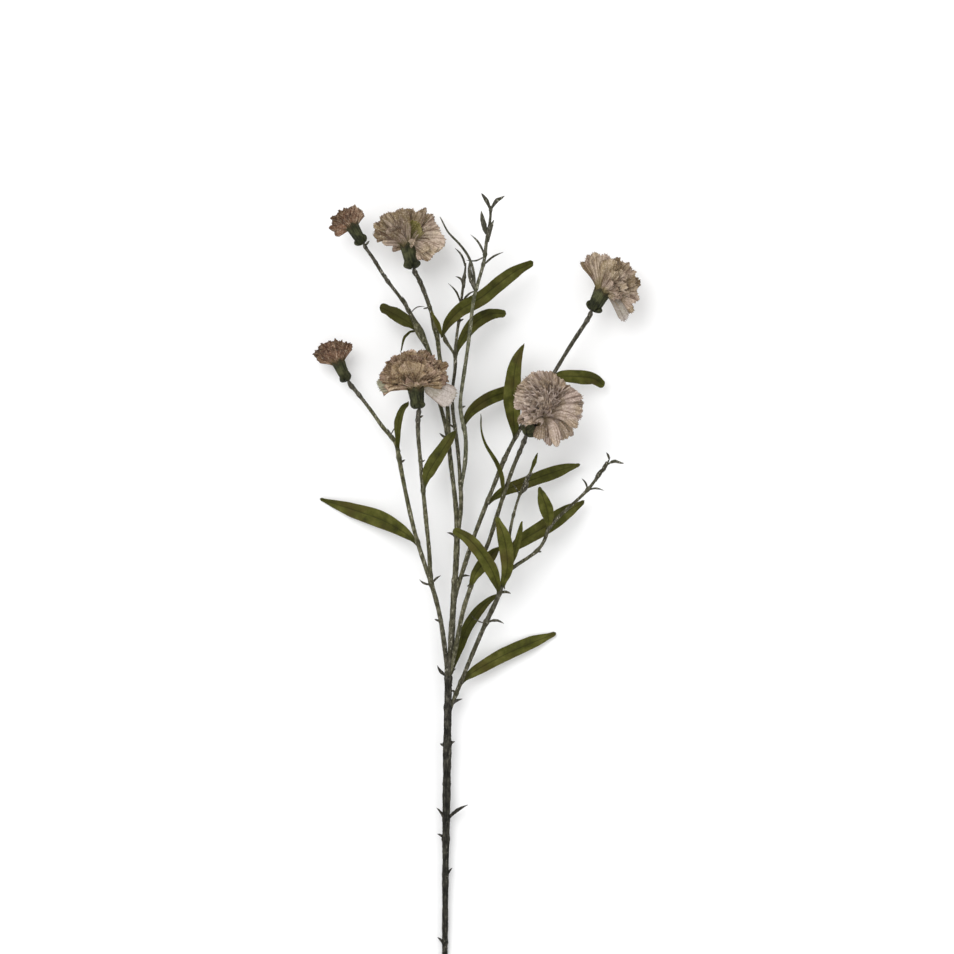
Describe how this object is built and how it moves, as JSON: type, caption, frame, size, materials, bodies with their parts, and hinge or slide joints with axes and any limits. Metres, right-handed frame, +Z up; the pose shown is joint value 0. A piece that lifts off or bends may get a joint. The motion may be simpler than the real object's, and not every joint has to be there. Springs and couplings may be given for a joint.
{
  "type": "cut carnation",
  "caption": "Cut spray carnation lying on its side: a knobbly branched stem with narrow leaves, thin sprigs, ruffled blooms and half-open buds.",
  "frame": {"origin": "middle of the flower's outline seen from above, on the surface that it lies on", "axes": "+Z up from the surface, +Y along the stem from the cut end to the blooms, +X to the side of the large right-hand blooms"},
  "size_m": [0.2283, 0.5591, 0.0687],
  "materials": {
    "stem_dark": "matte",
    "stem_green": "matte",
    "sprig_stem": "matte",
    "bract": "matte",
    "leaf": "matte",
    "calyx": "matte",
    "petal_tan": "matte",
    "petal_rose": "matte",
    "petal_pale": "matte"
  },
  "bodies": {
    "root": {"bract_side_sprig": "bract", "bract_tall_tip_left": "bract", "bract_tall_tip_right": "bract", "calyx_centre_bloom": "calyx", "calyx_left_bloom": "calyx", "calyx_left_bud": "calyx", "calyx_right_bloom": "calyx", "calyx_top_bloom": "calyx", "calyx_top_bud": "calyx", "centre_bloom_stem": "stem_green", "leaf_arm_long": "leaf", "leaf_arm_sheath": "leaf", "leaf_centre_long": "leaf", "leaf_centre_low": "leaf", "leaf_centre_thin": "leaf", "leaf_fork_dark": "leaf", "leaf_fork_small": "leaf", "leaf_fork_tall": "leaf", "leaf_left_bloom": "leaf", "leaf_left_curled": "leaf", "leaf_left_long": "leaf", "leaf_lower_sprig": "leaf", "leaf_lowest": "leaf", "leaf_over_stems": "leaf", "leaf_right_bloom": "leaf", "leaf_sprig_blunt": "leaf", "leaf_tall_sprig": "leaf", "leaf_tall_sprig_thin": "leaf", "leaf_top_bud_blunt": "leaf", "leaf_top_bud_thin": "leaf", "leaf_twig_long": "leaf", "leaf_twig_tip": "leaf", "leaf_upright": "leaf", "left_bloom_stem": "stem_green", "left_bud_stem": "stem_green", "lower_right_stem": "stem_green", "lower_right_twig": "stem_green", "main_stem": "stem_dark", "middle_stem": "stem_green", "petal_left_bloom_green": "petal_pale", "petal_left_bloom_pale": "petal_pale", "petal_right_bloom_drooping": "petal_pale", "petals_centre_bloom": "petal_rose", "petals_left_bloom": "petal_tan", "petals_left_bud": "petal_tan", "petals_right_bloom": "petal_tan", "petals_top_bloom": "petal_tan", "petals_top_bud": "petal_tan", "right_bloom_stem": "stem_green", "short_sprig_arm": "sprig_stem", "short_sprig_stem": "sprig_stem", "tall_sprig_stem": "sprig_stem", "top_bud_stem": "stem_green"}
  },
  "joints": []
}
